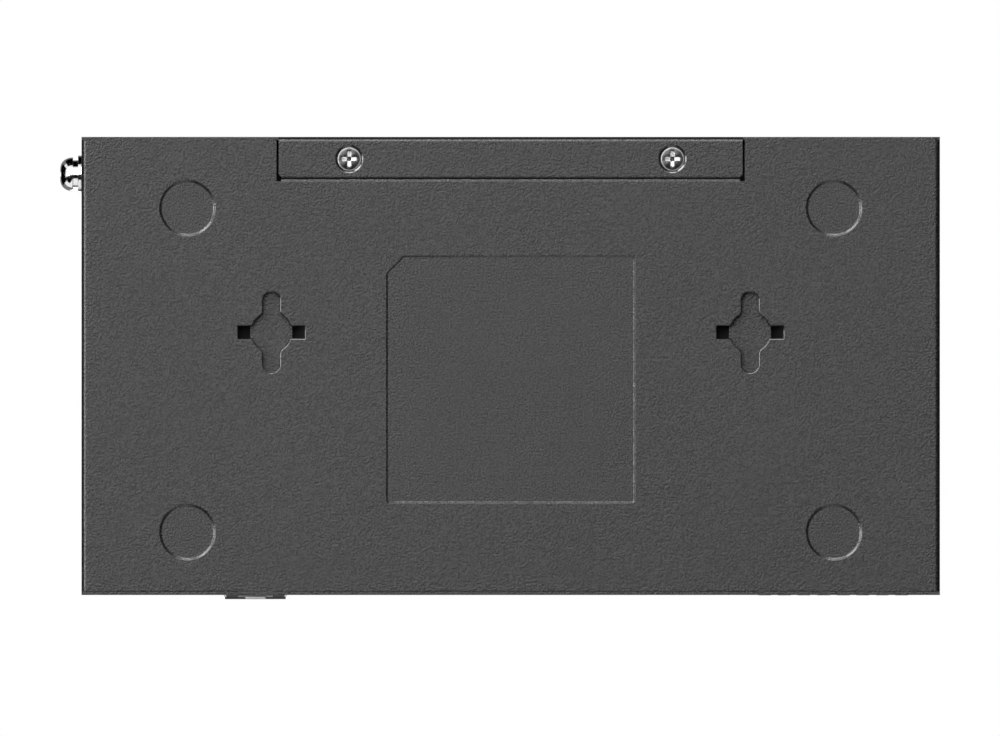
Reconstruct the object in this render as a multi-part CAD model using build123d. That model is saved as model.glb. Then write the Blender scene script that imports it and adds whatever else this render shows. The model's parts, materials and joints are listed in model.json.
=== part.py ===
from build123d import *
from math import atan2, cos, degrees, radians, sin, tan
import os

os.makedirs("parts", exist_ok=True)

# A desktop ethernet router in a folded steel case. The frame stands at the middle of the underside:
# X runs to the right as the front is seen, Y to the rear and Z up. All sizes are in millimetres.

# Case
case_width = 202.0
case_depth = 107.8
case_height = 28.0
sheet = 0.8
bend_inner = 0.3
front_seam = 0.12
rear_seam = 0.05
lid_seam = 0.05
ledge_width = 9.0
ledge_end_gap = 3.0
corner_notch_width = 1.2
corner_notch_height = 25.0

# Rear flange of the cover and the tray's tongue that it hooks under
flange_width = 109.2
flange_length = 9.4
flange_corner = 0.9
flange_side_gap = 0.45
flange_front_gap = 1.05
tongue_width = 108.0
tongue_seam = 0.05
joggle_lead = 0.5
joggle_lead_rise = 0.23
joggle_run = 0.85
notch_corner = 1.1

# Countersunk cover screws in formed dimples
cover_screw_pitch = 76.06
cover_screw_from_rear = 5.17
dimple_mouth = 6.6
dimple_height = 1.7
mouth_rim_run = 0.35
mouth_rim_rise = 0.16
cover_screw_head = 5.5
cover_screw_length = 4.0
cover_cross_span = 3.65
cover_cross_arm = 1.0
cover_cross_depth = 1.6
cover_thread = 3.0
thread_fit = 0.02
collar_wall = 0.7
collar_height = 1.1

# Feet recesses, label recess and keyholes in the underside
foot_diameter = 13.3
foot_from_side = 24.93
foot_from_rear = 16.75
foot_from_front = 14.77
foot_depth = 0.25
foot_slope = 0.45
label_width = 58.6
label_length = 58.3
label_y = -3.2
label_depth = 0.2
label_slope = 0.3
label_chamfer = 4.1
label_corner = 0.8
keyhole_pitch = 112.66
keyhole_y = 7.92
keyhole_circle = 9.9
keyhole_slot_length = 19.5
keyhole_slot_width = 4.5
keyhole_window_length = 16.1
keyhole_window_height = 3.4
keyhole_fillet = 1.2
guard_width = 9.9
guard_gap = 2.6
guard_sheet = 0.8
guard_reach = 2.4
guard_foot = 5.0

# Vents in the side walls
vent_count = 14
vent_pitch = 4.4
vent_width = 1.8
vent_height = 14.0
vent_middle_y = -9.0

# Earth terminal on the right side wall
ground_from_rear = 8.8
ground_z = 14.0
ground_thread = 4.0
ground_hole_fit = 0.3
flat_washer_diameter = 8.8
flat_washer_thickness = 0.8
spring_washer_diameter = 6.6
spring_washer_thickness = 1.2
spring_washer_gap = 0.8
spring_washer_slant = 20.0
ground_head_diameter = 7.9
ground_head_height = 3.0
ground_dome_width = 2.5
ground_dome_height = 2.8
ground_dome_steps = 3
ground_screw_length = 8.0
ground_cross_span = 4.6
ground_cross_arm = 1.1
ground_cross_depth = 2.0
ground_nut_flats = 7.0
ground_nut_height = 3.2

# Main board and what carries it
board_side_gap = 7.0
board_wall_gap = 0.5
board_rear_gap = 2.0
board_underside_z = 6.5
board_thickness = 1.6
standoff_flats = 5.0
board_thread = 3.0
board_hole_fit = 0.4
standoff_inset_x = 5.0
standoff_front_inset = 24.0
standoff_rear_inset = 7.0
board_screw_flats = 5.5
board_screw_head_height = 1.8
board_screw_length = 5.0
board_cross_span = 3.2
board_cross_arm = 0.9
board_cross_depth = 1.2
cross_taper = 12.0

# Modular sockets
port_pitch = 14.0
lan_ports = 4
lan_from_pinhole = 9.0
wan_from_lan = 11.0
jack_width_spare = 2.0
jack_height = 13.3
jack_depth = 21.2
jack_recess = 0.15
jack_wall_gap = 0.3
shield_sheet = 0.25
plug_width = 11.8
plug_height = 7.9
plug_depth = 14.5
plug_top_wall = 1.3
latch_width = 6.4
latch_height = 1.5
latch_tip_width = 3.4
latch_tip_height = 1.3
shield_lip = 0.4
contact_count = 8
contact_pitch = 1.02
contact_width = 0.45
contact_thickness = 0.35
contact_start = 1.2
contact_flat = 1.2
contact_run = 9.5
contact_drop = 2.4

# Cage for a pluggable transceiver
sfp_from_wan = 12.1
sfp_width = 14.0
sfp_height = 9.8
sfp_length = 47.5
sfp_sheet = 0.3
sfp_proud = 0.97
band_sheet = 0.15
band_ring = 0.5
finger_width = 2.6
finger_bulge = 0.44
finger_length = 6.5
finger_foot = 1.0
sfp_wall_gap = 0.6
latch_lip_width = 4.9
latch_lip_thickness = 0.5
latch_hole_width = 2.6
latch_hole_from_front = 9.0
sfp_connector_width = 11.0
sfp_connector_height = 6.6
sfp_connector_depth = 10.0
sfp_slot_width = 9.2
sfp_slot_height = 1.2
sfp_slot_wall = 2.0

# Power inlet on the rear wall
power_from_left = 27.0
power_width = 9.0
power_height = 11.0
power_chamfer = 1.2
power_depth = 14.4
power_bore = 6.4
power_bore_depth = 10.5
power_nose_diameter = 8.0
power_nose_length = 0.7
power_hole_fit = 0.4
power_pin_diameter = 2.0
power_pin_recess = 1.2
power_spring_width = 2.0
power_spring_thickness = 0.3
power_spring_inset = 1.5

# Status lights
light_count = 8
light_pitch = 4.6
light_from_left = 9.0
light_z = 15.0
light_tip_width = 3.0
light_tip_height = 1.4
light_hole_fit = 0.15
light_proud = 0.1
light_reach = 7.0
light_bar_depth = 2.0
light_leg_width = 1.0
led_width = 1.6
led_length = 2.0
led_height = 0.9
led_gap = 0.15

# Reset switch behind a pinhole
reset_from_lights = 6.8
pinhole_diameter = 1.8
switch_width = 6.0
switch_depth = 3.6
switch_height = 4.6
switch_front_gap = 3.4
button_width = 3.0
button_height = 1.6
button_reach = 1.0
button_travel = 0.25
button_fit = 0.08
button_flange = 0.5

# Electronics
chip_thickness = 1.2
chip_gap = 4.5
router_chip_size = 19.0
router_from_lan = 37.0
sink_size = 38.0
sink_base = 2.0
sink_height = 9.0
fin_count = 9
fin_thickness = 1.1
pad_thickness = 0.5
switch_chip_size = 14.0
switch_from_lan = -7.0
memory_width = 9.0
memory_length = 13.0
memory_pitch = 15.0
memory_from_sink = 4.0
memory_from_cage = 3.0
flash_width = 12.0
flash_length = 18.4
flash_from_switch = 8.0
transformer_width = 25.0
transformer_length = 13.0
transformer_height = 5.6
transformer_pitch = 28.5
transformer_gap = 2.0
transformer_taper = 6.0
capacitor_diameter = 8.0
capacitor_height = 11.5
capacitor_pitch = 10.5
capacitor_count = 2
capacitor_gap = 1.5
inductor_size = 7.0
inductor_corner = 1.0
inductor_height = 4.0
inductor_pitch = 12.0
inductor_count = 3
inductor_gap = 2.0
crystal_width = 11.0
crystal_length = 4.6
crystal_height = 3.5
crystal_gap = 3.0

# Levels and planes that several pieces share
half_width = case_width / 2
front_face = -case_depth / 2
rear_face = case_depth / 2
front_inside = front_face + sheet
rear_inside = rear_face - sheet
lid_underside = case_height - sheet
bend_outer = bend_inner + sheet
tray_front = front_inside + front_seam
tray_rear = rear_inside - rear_seam
tray_top = lid_underside - lid_seam
flange_front = rear_face - flange_length
notch_front = flange_front - flange_front_gap
notch_width = flange_width + 2 * flange_side_gap + 2 * rear_seam
tongue_underside = sheet + tongue_seam
tongue_rear = rear_inside - bend_inner - rear_seam
wall_foot = sheet + rear_seam
cover_screw_y = rear_face - cover_screw_from_rear
cover_screw_places = [(-cover_screw_pitch / 2, cover_screw_y), (cover_screw_pitch / 2, cover_screw_y)]
foot_x = half_width - foot_from_side
foot_ys = (front_face + foot_from_front, rear_face - foot_from_rear)
foot_places = [(x, y) for x in (-foot_x, foot_x) for y in foot_ys]
guard_underside = sheet + guard_gap
board_top = board_underside_z + board_thickness
board_front = front_inside + board_wall_gap
board_rear = rear_inside - board_rear_gap
board_half = half_width - board_side_gap
jack_front = front_face + jack_recess
lan_width = lan_ports * port_pitch + jack_width_spare
wan_width = port_pitch + jack_width_spare
jack_top = board_top + jack_height
jack_rear = jack_front + jack_depth

# The front's layout, counted from the left wall
light_places = [light_from_left - half_width + i * light_pitch for i in range(light_count)]
reset_x = light_places[-1] + reset_from_lights
lan_middle_x = reset_x + lan_from_pinhole + lan_width / 2
wan_middle_x = lan_middle_x + lan_width / 2 + wan_from_lan + wan_width / 2
sfp_x = wan_middle_x + wan_width / 2 + sfp_from_wan + sfp_width / 2
power_x = power_from_left - half_width
ground_y = rear_face - ground_from_rear
cage_front = front_face - sfp_proud
finger_start = cage_front + band_ring
finger_end = finger_start + finger_length


# Shapes that repeat
def block(x0, x1, y0, y1, z0, z1):
    """A straight-sided solid between two values on each axis."""
    return Pos((x0 + x1) / 2, (y0 + y1) / 2, (z0 + z1) / 2) * Box(x1 - x0, y1 - y0, z1 - z0)


def post(x, y, z0, z1, radius):
    """A round bar along Z."""
    return Pos(x, y, (z0 + z1) / 2) * Cylinder(radius, z1 - z0)


def rod_x(y, z, x0, x1, radius):
    """A round bar along X."""
    return Pos((x0 + x1) / 2, y, z) * Rot(0, 90, 0) * Cylinder(radius, x1 - x0)


def rod_y(x, z, y0, y1, radius):
    """A round bar along Y."""
    return Pos(x, (y0 + y1) / 2, z) * Rot(90, 0, 0) * Cylinder(radius, y1 - y0)


def folded(points, radius, thickness):
    """The section of a sheet folded along the points on its outer face, with the sheet on the left."""
    outer = FilletPolyline(*points, radius=radius)
    return make_face(offset(outer, thickness, side=Side.LEFT).edges())


def along_x(section, x0, x1):
    """A section drawn in Y and Z, extruded from one X to another."""
    return extrude(Plane.YZ.offset(x0) * section, x1 - x0)


def along_y(section, y0, y1):
    """A section drawn in X and Z, extruded from one Y to another."""
    return extrude(Plane.XZ.offset(-y1) * section, y1 - y0)


def along_z(section, z0, z1):
    """A section drawn in X and Y, extruded from one Z to another."""
    return extrude(Plane.XY.offset(z0) * section, z1 - z0)


def turned(points, x, y):
    """A solid of revolution about an upright axis at x, y, from its radius and height points."""
    section = make_face(Polyline(*points, close=True))
    return Pos(x, y, 0) * revolve(Plane.XZ * section, Axis.Z)


def turned_x(points, y, z):
    """A solid of revolution about an axis along X at y, z, from its X and radius points."""
    return Pos(0, y, z) * revolve(make_face(Polyline(*points, close=True)), Axis.X)


def cross_recess(span, arm, depth):
    """The tapered cross of a driver recess, from z = 0 upwards."""
    across = extrude(Rectangle(span, arm), depth, taper=cross_taper)
    return across + extrude(Rectangle(arm, span), depth, taper=cross_taper)


def square_tube(x, z0, z1, y0, y1, width, wall):
    """A square-cornered sheet tube along Y, standing from z0 to z1."""
    middle = Pos(x, (z0 + z1) / 2)
    ring = middle * Rectangle(width, z1 - z0) - middle * Rectangle(width - 2 * wall, z1 - z0 - 2 * wall)
    return along_y(ring, y0, y1)


def write(name, *solids):
    """Save one node, made of one solid or of several like ones."""
    shape = solids[0] if len(solids) == 1 else Compound(list(solids))
    export_step(shape, "parts/" + name + ".step")


# Sections of the formed dimples. Both cones run at 45 degrees, and the tongue's nests on the flange's.
cone_spread = sheet * 2 ** 0.5
mouth_radius = dimple_mouth / 2
flange_cone = mouth_radius + cone_spread
tongue_cone = flange_cone + tongue_seam * 2 ** 0.5
tongue_cone_outer = tongue_cone + cone_spread
dimple_roof = dimple_height + tongue_seam
dimple_top = dimple_roof + sheet
collar_top = dimple_top + collar_height
cover_hole = cover_thread / 2 + thread_fit
head_level = mouth_radius - cover_screw_head / 2

flange_dimple = [
    (mouth_radius - dimple_height, 0),
    (flange_cone - sheet, 0),
    (flange_cone - sheet, sheet),
    (flange_cone - dimple_height, dimple_height),
    (mouth_radius - dimple_height, dimple_height),
]
flange_sink = [
    (0, 0),
    (mouth_radius, 0),
    (mouth_radius - mouth_rim_run, mouth_rim_rise),
    (cover_screw_head / 2, head_level),
    (mouth_radius - dimple_height, dimple_height),
    (0, dimple_height),
]
tongue_dimple = [
    (0, tongue_underside),
    (tongue_cone_outer - tongue_underside - sheet, tongue_underside),
    (tongue_cone_outer - tongue_underside - sheet, tongue_underside + sheet),
    (tongue_cone_outer - dimple_top, dimple_top),
    (cover_hole + collar_wall, dimple_top),
    (cover_hole + collar_wall, collar_top),
    (0, collar_top),
]
tongue_sink = [
    (0, tongue_underside),
    (tongue_cone - tongue_underside, tongue_underside),
    (tongue_cone - dimple_roof, dimple_roof),
    (0, dimple_roof),
]

# Shapes pressed or cut in the underside
label_sketch = Pos(0, label_y) * Rectangle(label_width, label_length)
label_vertices = label_sketch.vertices().sort_by(lambda v: v.X + v.Y)
label_sketch = chamfer(label_vertices[-1], label_chamfer)
square_corners = label_sketch.vertices().sort_by(lambda v: v.X + v.Y)[0:3]
label_sketch = fillet(square_corners, label_corner)
label_taper = degrees(atan2(label_slope, label_depth))
foot_radius = foot_diameter / 2
foot_sink = [(0, 0), (foot_radius, 0), (foot_radius - foot_slope, foot_depth), (0, foot_depth)]

keyhole_sketch = Circle(keyhole_circle / 2) + SlotOverall(keyhole_slot_length, keyhole_slot_width, rotation=90)
slot_meets_circle = [
    v for v in keyhole_sketch.vertices()
    if abs(abs(v.X) - keyhole_slot_width / 2) < 0.01 and abs(v.Y) < keyhole_circle / 2
]
keyhole_sketch = fillet(slot_meets_circle, keyhole_fillet)
keyhole_sketch += Rectangle(keyhole_window_length, keyhole_window_height)
keyhole_places = [(-keyhole_pitch / 2, keyhole_y), (keyhole_pitch / 2, keyhole_y)]

# Tray: bottom, side walls and the ledges under the lid, folded from one sheet
tray_path = [
    (ledge_width - half_width, tray_top),
    (-half_width, tray_top),
    (-half_width, 0),
    (half_width, 0),
    (half_width, tray_top),
    (half_width - ledge_width, tray_top),
]
base_tray = along_y(folded(tray_path, bend_outer, sheet), tray_front, tray_rear)

# The ledges and the upper corners of the side walls stop short of the cover's bends
for y0, y1 in ((tray_front, tray_front + ledge_end_gap), (tray_rear - ledge_end_gap, tray_rear)):
    base_tray -= block(-half_width, half_width, y0, y1, tray_top - bend_outer, tray_top)

# The bottom runs on under the cover's rear wall, between the corners of the side walls
flat_half = half_width - bend_outer
base_tray += block(-flat_half, flat_half, tray_rear, rear_face, 0, sheet)

# Rear notch, with the tongue joggled up by one sheet
base_tray -= block(-notch_width / 2, notch_width / 2, notch_front, rear_face, 0, sheet)
notch_corners = [
    e for e in base_tray.edges().filter_by(Axis.Z)
    if abs(abs(e.center().X) - notch_width / 2) < 0.01 and abs(e.center().Y - rear_face) < 0.01
]
base_tray = fillet(notch_corners, notch_corner)
lead_angle = atan2(joggle_lead_rise, joggle_lead)
steep_angle = atan2(tongue_underside - joggle_lead_rise, joggle_run - joggle_lead)
tongue_section = make_face(Polyline(
    (notch_front - sheet, 0),
    (notch_front, 0),
    (notch_front + joggle_lead, joggle_lead_rise),
    (notch_front + joggle_run, tongue_underside),
    (tongue_rear, tongue_underside),
    (tongue_rear, tongue_underside + sheet),
    (notch_front + joggle_run - sheet * tan(steep_angle / 2), tongue_underside + sheet),
    (notch_front - sheet * tan(lead_angle / 2), sheet),
    (notch_front - sheet, sheet),
    close=True,
))
base_tray += along_x(tongue_section, -tongue_width / 2, tongue_width / 2)
for x, y in cover_screw_places:
    base_tray += turned(tongue_dimple, x, y)
    base_tray -= turned(tongue_sink, x, y)
    base_tray -= post(x, y, 0, collar_top, cover_hole)

# Shallow recesses for the feet and the label, coined with sloping rims
for x, y in foot_places:
    base_tray -= turned(foot_sink, x, y)
base_tray -= extrude(label_sketch, label_depth, taper=label_taper)

for x, y in keyhole_places:
    base_tray -= along_z(Pos(x, y) * keyhole_sketch, 0, sheet)

# Vents through both side walls, and the hole for the earth screw through the right one
vent_slot = Pos(0, case_height / 2) * Rectangle(vent_width, vent_height)
for i in range(vent_count):
    vent_y = vent_middle_y + (i - (vent_count - 1) / 2) * vent_pitch
    for x0, x1 in ((-half_width, sheet - half_width), (half_width - sheet, half_width)):
        base_tray -= along_x(Pos(vent_y, 0) * vent_slot, x0, x1)
ground_hole_radius = (ground_thread + ground_hole_fit) / 2
base_tray -= rod_x(ground_y, ground_z, half_width - sheet, half_width, ground_hole_radius)

# Cover: front wall, top and rear wall, with the flange folded under the tray's tongue
cover_path = [(rear_face, 0), (rear_face, case_height), (front_face, case_height), (front_face, 0)]
top_cover = along_x(folded(cover_path, bend_outer, sheet), -half_width, half_width)
flange_half = flange_width / 2
top_cover -= block(-half_width, half_width, rear_inside, rear_face, 0, wall_foot)
top_cover -= block(-flange_half, flange_half, rear_inside, rear_face, 0, 2 * bend_outer)
flange_path = [(flange_front, 0), (rear_face, 0), (rear_face, 2 * bend_outer)]
flange = along_x(folded(flange_path, bend_outer, sheet), -flange_half, flange_half)
flange_corners = [
    e for e in flange.edges().filter_by(Axis.Z)
    if abs(e.center().Y - flange_front) < 0.01
]
flange = fillet(flange_corners, flange_corner)
for x, y in cover_screw_places:
    flange += turned(flange_dimple, x, y)
    flange -= turned(flange_sink, x, y)
    flange -= post(x, y, 0, dimple_height, mouth_radius - dimple_height)
top_cover += flange
for x0, x1 in ((-half_width, corner_notch_width - half_width), (half_width - corner_notch_width, half_width)):
    top_cover -= block(x0, x1, rear_inside, rear_face, 0, corner_notch_height)
# Openings in the front wall for the sockets, cage, lights and pinhole
for middle, jack_width in ((lan_middle_x, lan_width), (wan_middle_x, wan_width)):
    top_cover -= block(
        middle - jack_width / 2 - jack_wall_gap,
        middle + jack_width / 2 + jack_wall_gap,
        front_face,
        front_inside,
        board_top - jack_wall_gap,
        board_top + jack_height + jack_wall_gap,
    )
top_cover -= block(
    sfp_x - sfp_width / 2 - sfp_wall_gap,
    sfp_x + sfp_width / 2 + sfp_wall_gap,
    front_face,
    front_inside,
    board_top - sfp_wall_gap,
    board_top + sfp_height + sfp_wall_gap,
)
light_hole = Rectangle(light_tip_width + 2 * light_hole_fit, light_tip_height + 2 * light_hole_fit)
for x in light_places:
    top_cover -= along_y(Pos(x, light_z) * light_hole, front_face, front_inside)
button_z = board_top + switch_height / 2
top_cover -= rod_y(reset_x, button_z, front_face, front_inside, pinhole_diameter / 2)

# Round hole in the rear wall for the nose of the power inlet
power_z = board_top + power_height / 2
power_hole_radius = (power_nose_diameter + power_hole_fit) / 2
top_cover -= rod_y(power_x, power_z, rear_inside, rear_face, power_hole_radius)

write("base_tray", base_tray)
write("top_cover", top_cover)

# Countersunk screws, seated on the flange's cone
head_cone_end = head_level + (cover_screw_head - cover_thread) / 2
cover_screw_profile = [
    (0, head_level),
    (cover_screw_head / 2, head_level),
    (cover_thread / 2, head_cone_end),
    (cover_thread / 2, head_level + cover_screw_length),
    (0, head_level + cover_screw_length),
]
cover_screws = []
for x, y in cover_screw_places:
    screw = turned(cover_screw_profile, x, y)
    recess = cross_recess(cover_cross_span, cover_cross_arm, cover_cross_depth)
    screw -= Pos(x, y, head_level) * recess
    cover_screws.append(screw)
write("cover_screws", *cover_screws)

# Straps over the keyholes, bridged along Y, with their feet on the bottom
guard_half = keyhole_slot_length / 2 + guard_reach
guard_path = [
    (-guard_half - guard_foot, sheet),
    (-guard_half, sheet),
    (-guard_half, guard_underside),
    (guard_half, guard_underside),
    (guard_half, sheet),
    (guard_half + guard_foot, sheet),
]
guard_section = folded(guard_path, bend_inner, guard_sheet)
for name, (x, y) in zip(("keyhole_guard_left", "keyhole_guard_right"), keyhole_places):
    write(name, Pos(0, y, 0) * along_x(guard_section, x - guard_width / 2, x + guard_width / 2))

# Earth terminal: nut inside the wall, then flat washer, spring washer and domed screw outside
flat_washer_end = half_width + flat_washer_thickness
spring_washer_end = flat_washer_end + spring_washer_thickness
ground_head_end = spring_washer_end + ground_head_height
flat_washer = rod_x(ground_y, ground_z, half_width, flat_washer_end, flat_washer_diameter / 2)
flat_washer -= rod_x(ground_y, ground_z, half_width, flat_washer_end, ground_hole_radius)
write("ground_flat_washer", flat_washer)
spring_washer = rod_x(ground_y, ground_z, flat_washer_end, spring_washer_end, spring_washer_diameter / 2)
spring_washer -= rod_x(ground_y, ground_z, flat_washer_end, spring_washer_end, ground_hole_radius)
washer_split = Box(2 * spring_washer_thickness, spring_washer_gap, spring_washer_diameter)
split_place = Pos((flat_washer_end + spring_washer_end) / 2, ground_y, ground_z + spring_washer_diameter / 2)
spring_washer -= split_place * Rot(0, 0, spring_washer_slant) * washer_split
write("ground_spring_washer", spring_washer)
ground_nut_end = half_width - sheet - ground_nut_height
ground_nut = Plane.YZ.offset(ground_nut_end) * (
    Pos(ground_y, ground_z) * RegularPolygon(ground_nut_flats / 2, 6, major_radius=False)
)
ground_nut = extrude(ground_nut, ground_nut_height)
ground_nut -= rod_x(
    ground_y, ground_z, ground_nut_end, half_width - sheet, ground_thread / 2 + thread_fit
)
write("ground_nut", ground_nut)
ground_tip = spring_washer_end - ground_screw_length
ground_profile = [
    (ground_tip, 0),
    (ground_tip, ground_thread / 2),
    (spring_washer_end, ground_thread / 2),
    (spring_washer_end, ground_head_diameter / 2),
]
for step in range(ground_dome_steps + 1):
    angle = radians(90 * step / ground_dome_steps)
    ground_profile.append((
        ground_head_end - ground_dome_height * (1 - sin(angle)),
        ground_head_diameter / 2 - ground_dome_width * (1 - cos(angle)),
    ))
ground_profile.append((ground_head_end, 0))
ground_screw = turned_x(ground_profile, ground_y, ground_z)
ground_recess = cross_recess(ground_cross_span, ground_cross_arm, ground_cross_depth)
ground_screw -= Pos(ground_head_end, ground_y, ground_z) * Rot(0, -90, 0) * ground_recess
write("ground_screw", ground_screw)

# Main board on hexagonal standoffs
standoff_x = board_half - standoff_inset_x
standoff_ys = (board_front + standoff_front_inset, board_rear - standoff_rear_inset)
standoff_places = [(x, y) for x in (-standoff_x, standoff_x) for y in standoff_ys]
main_board = block(-board_half, board_half, board_front, board_rear, board_underside_z, board_top)
main_board -= block(
    sfp_x - sfp_width / 2 - board_hole_fit, sfp_x + sfp_width / 2 + board_hole_fit, board_front,
    finger_end + board_hole_fit, board_underside_z, board_top,
)
standoffs = []
board_screws = []
board_head_top = board_top + board_screw_head_height
for x, y in standoff_places:
    main_board -= post(x, y, board_underside_z, board_top, (board_thread + board_hole_fit) / 2)
    hexagon = Pos(x, y) * RegularPolygon(standoff_flats / 2, 6, major_radius=False)
    standoff = along_z(hexagon, sheet, board_underside_z)
    standoff -= post(x, y, 2 * sheet, board_underside_z, board_thread / 2 + thread_fit)
    standoffs.append(standoff)
    screw = post(x, y, board_top - board_screw_length, board_top, board_thread / 2)
    head = Pos(x, y) * RegularPolygon(board_screw_flats / 2, 6, major_radius=False)
    screw += along_z(head, board_top, board_head_top)
    recess = cross_recess(board_cross_span, board_cross_arm, board_cross_depth)
    screw -= Pos(x, y, board_head_top) * Rot(180, 0, 0) * recess
    board_screws.append(screw)
write("board_standoffs", *standoffs)
write("board_screws", *board_screws)

# Outline of one socket's mouth: the plug's body over the two steps of its latch
plug_ceiling = jack_top - shield_sheet - plug_top_wall
plug_floor = plug_ceiling - plug_height
latch_floor = plug_floor - latch_height
tip_floor = latch_floor - latch_tip_height
plug_outline = (
    Pos(0, (plug_floor + plug_ceiling) / 2) * Rectangle(plug_width, plug_height)
    + Pos(0, (latch_floor + plug_ceiling) / 2) * Rectangle(latch_width, plug_ceiling - latch_floor)
    + Pos(0, (tip_floor + plug_ceiling) / 2) * Rectangle(latch_tip_width, plug_ceiling - tip_floor)
)
shield_outline = offset(plug_outline, shield_lip, kind=Kind.INTERSECTION)

contact_y = jack_front + shield_sheet + contact_start
contact_path = [
    (contact_y, plug_ceiling),
    (contact_y + contact_flat, plug_ceiling),
    (contact_y + contact_flat + contact_run, plug_ceiling - contact_drop),
]
contact_line = Polyline(*contact_path)
contact_section = make_face(offset(contact_line, contact_thickness, side=Side.RIGHT).edges())
contact_section -= Pos(contact_y, plug_ceiling + contact_thickness) * Rectangle(
    4 * contact_run, 2 * contact_thickness
)


def socket(name, middle, ports):
    """One shielded block of modular sockets: shield, moulded housing and spring contacts."""
    half = (ports * port_pitch + jack_width_spare) / 2
    x0 = middle - half
    x1 = middle + half
    places = [middle + (i - (ports - 1) / 2) * port_pitch for i in range(ports)]
    shield = block(x0, x1, jack_front, jack_rear, board_top, jack_top)
    shield -= block(
        x0 + shield_sheet, x1 - shield_sheet, jack_front + shield_sheet, jack_rear - shield_sheet,
        board_top, jack_top - shield_sheet,
    )
    housing = block(
        x0 + shield_sheet, x1 - shield_sheet, jack_front + shield_sheet, jack_rear - shield_sheet,
        board_top, jack_top - shield_sheet,
    )
    contacts = []
    for x in places:
        shield -= along_y(Pos(x, 0) * shield_outline, jack_front, jack_front + shield_sheet)
        housing -= along_y(
            Pos(x, 0) * plug_outline, jack_front, jack_front + shield_sheet + plug_depth
        )
        for i in range(contact_count):
            contact_x = x + (i - (contact_count - 1) / 2) * contact_pitch
            contacts.append(along_x(
                contact_section, contact_x - contact_width / 2, contact_x + contact_width / 2
            ))
    write(name + "_shield", shield)
    write(name + "_housing", housing)
    write(name + "_contacts", *contacts)


socket("lan", lan_middle_x, lan_ports)
socket("wan", wan_middle_x, 1)

# Transceiver cage: a folded box open at the front, with a slot for the latch in its floor
cage_rear = cage_front + sfp_length
cage_top = board_top + sfp_height
cage_half = sfp_width / 2
sfp_cage = square_tube(sfp_x, board_top, cage_top, cage_front, cage_rear, sfp_width, sfp_sheet)
sfp_cage += block(
    sfp_x - cage_half, sfp_x + cage_half, cage_rear - sfp_sheet, cage_rear, board_top, cage_top
)
latch_hole_y = cage_front + latch_hole_from_front
latch_hole = Pos(sfp_x, latch_hole_y) * RegularPolygon(latch_hole_width / 2, 3, rotation=90)
sfp_cage -= along_z(latch_hole, board_top, board_top + sfp_sheet)
write("sfp_cage", sfp_cage)

# Band round the cage's mouth, with spring fingers that press on the edge of the wall's opening
band_half = cage_half + band_sheet
band = square_tube(
    sfp_x, board_top - band_sheet, cage_top + band_sheet, cage_front, finger_start, 2 * band_half, band_sheet
)
finger_section = make_face(Polyline(
    (finger_start, 0),
    (finger_start, band_sheet),
    (front_face, finger_bulge),
    (front_face + 2 * sheet, finger_bulge),
    (finger_end, band_sheet),
    (finger_end, 0),
    (finger_end - finger_foot, 0),
    (front_face + 2 * sheet, finger_bulge - band_sheet),
    (front_face, finger_bulge - band_sheet),
    close=True,
))
flat_finger = along_x(finger_section, -finger_width / 2, finger_width / 2)
upper_finger = Pos(sfp_x, 0, cage_top) * flat_finger
lower_finger = Pos(sfp_x, 0, board_top) * (Rot(0, 180, 0) * flat_finger)
left_finger = Pos(sfp_x - cage_half, 0, 0) * (Rot(0, -90, 0) * flat_finger)
right_finger = Pos(sfp_x + cage_half, 0, 0) * (Rot(0, 90, 0) * flat_finger)
across_pitch = (sfp_width - 2 * sfp_sheet - finger_width) / 2
upright_pitch = sfp_height - 2 * sfp_sheet - finger_width
for step in (-1, 0, 1):
    band += Pos(step * across_pitch, 0, 0) * upper_finger
for step in (-1, 1):
    band += Pos(step * across_pitch, 0, 0) * lower_finger
    upright = board_top + sfp_height / 2 + step * upright_pitch / 2
    band += Pos(0, 0, upright) * left_finger
    band += Pos(0, 0, upright) * right_finger
lip_top = board_top - band_sheet
latch_lip = Pos(sfp_x, lip_top) * SlotOverall(latch_lip_width, 2 * latch_lip_thickness)
band += along_y(latch_lip, cage_front, cage_front + band_ring) - block(
    sfp_x - cage_half, sfp_x + cage_half, cage_front, cage_front + band_ring, board_top, cage_top
)
write("sfp_finger_band", band)

# Edge connector at the back of the cage
connector_rear = cage_rear - sfp_sheet
connector_front = connector_rear - sfp_connector_depth
sfp_connector = block(
    sfp_x - sfp_connector_width / 2, sfp_x + sfp_connector_width / 2, connector_front, connector_rear,
    board_top + sfp_sheet, board_top + sfp_sheet + sfp_connector_height,
)
slot_z = board_top + sfp_sheet + sfp_connector_height / 2
sfp_connector -= block(
    sfp_x - sfp_slot_width / 2, sfp_x + sfp_slot_width / 2, connector_front, connector_rear - sfp_slot_wall,
    slot_z - sfp_slot_height / 2, slot_z + sfp_slot_height / 2,
)
write("sfp_connector", sfp_connector)

# Power inlet: moulded body with a round nose in the wall's hole, centre pin and side spring
power_front = rear_inside - board_wall_gap
power_back = power_front - power_depth
power_nose_end = rear_inside + power_nose_length
power_section = Pos(power_x, power_z) * Rectangle(power_width, power_height)
upper_corners = power_section.vertices().sort_by(Axis.Y)[2:4]
power_section = chamfer(upper_corners, power_chamfer)
power_jack = along_y(power_section, power_back, power_front)
power_jack += rod_y(power_x, power_z, power_front, power_nose_end, power_nose_diameter / 2)
bore_end = power_nose_end - power_bore_depth
power_jack -= rod_y(power_x, power_z, bore_end, power_nose_end, power_bore / 2)
spring_top = power_z - power_bore / 2 + power_spring_thickness
spring_bottom = power_z - power_bore / 2 - power_spring_thickness
spring_front = power_front - power_spring_inset
power_jack -= block(
    power_x - power_spring_width / 2, power_x + power_spring_width / 2, bore_end, spring_front,
    spring_bottom, power_z,
)
write("power_jack", power_jack)
pin_tip = power_nose_end - power_pin_recess
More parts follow.
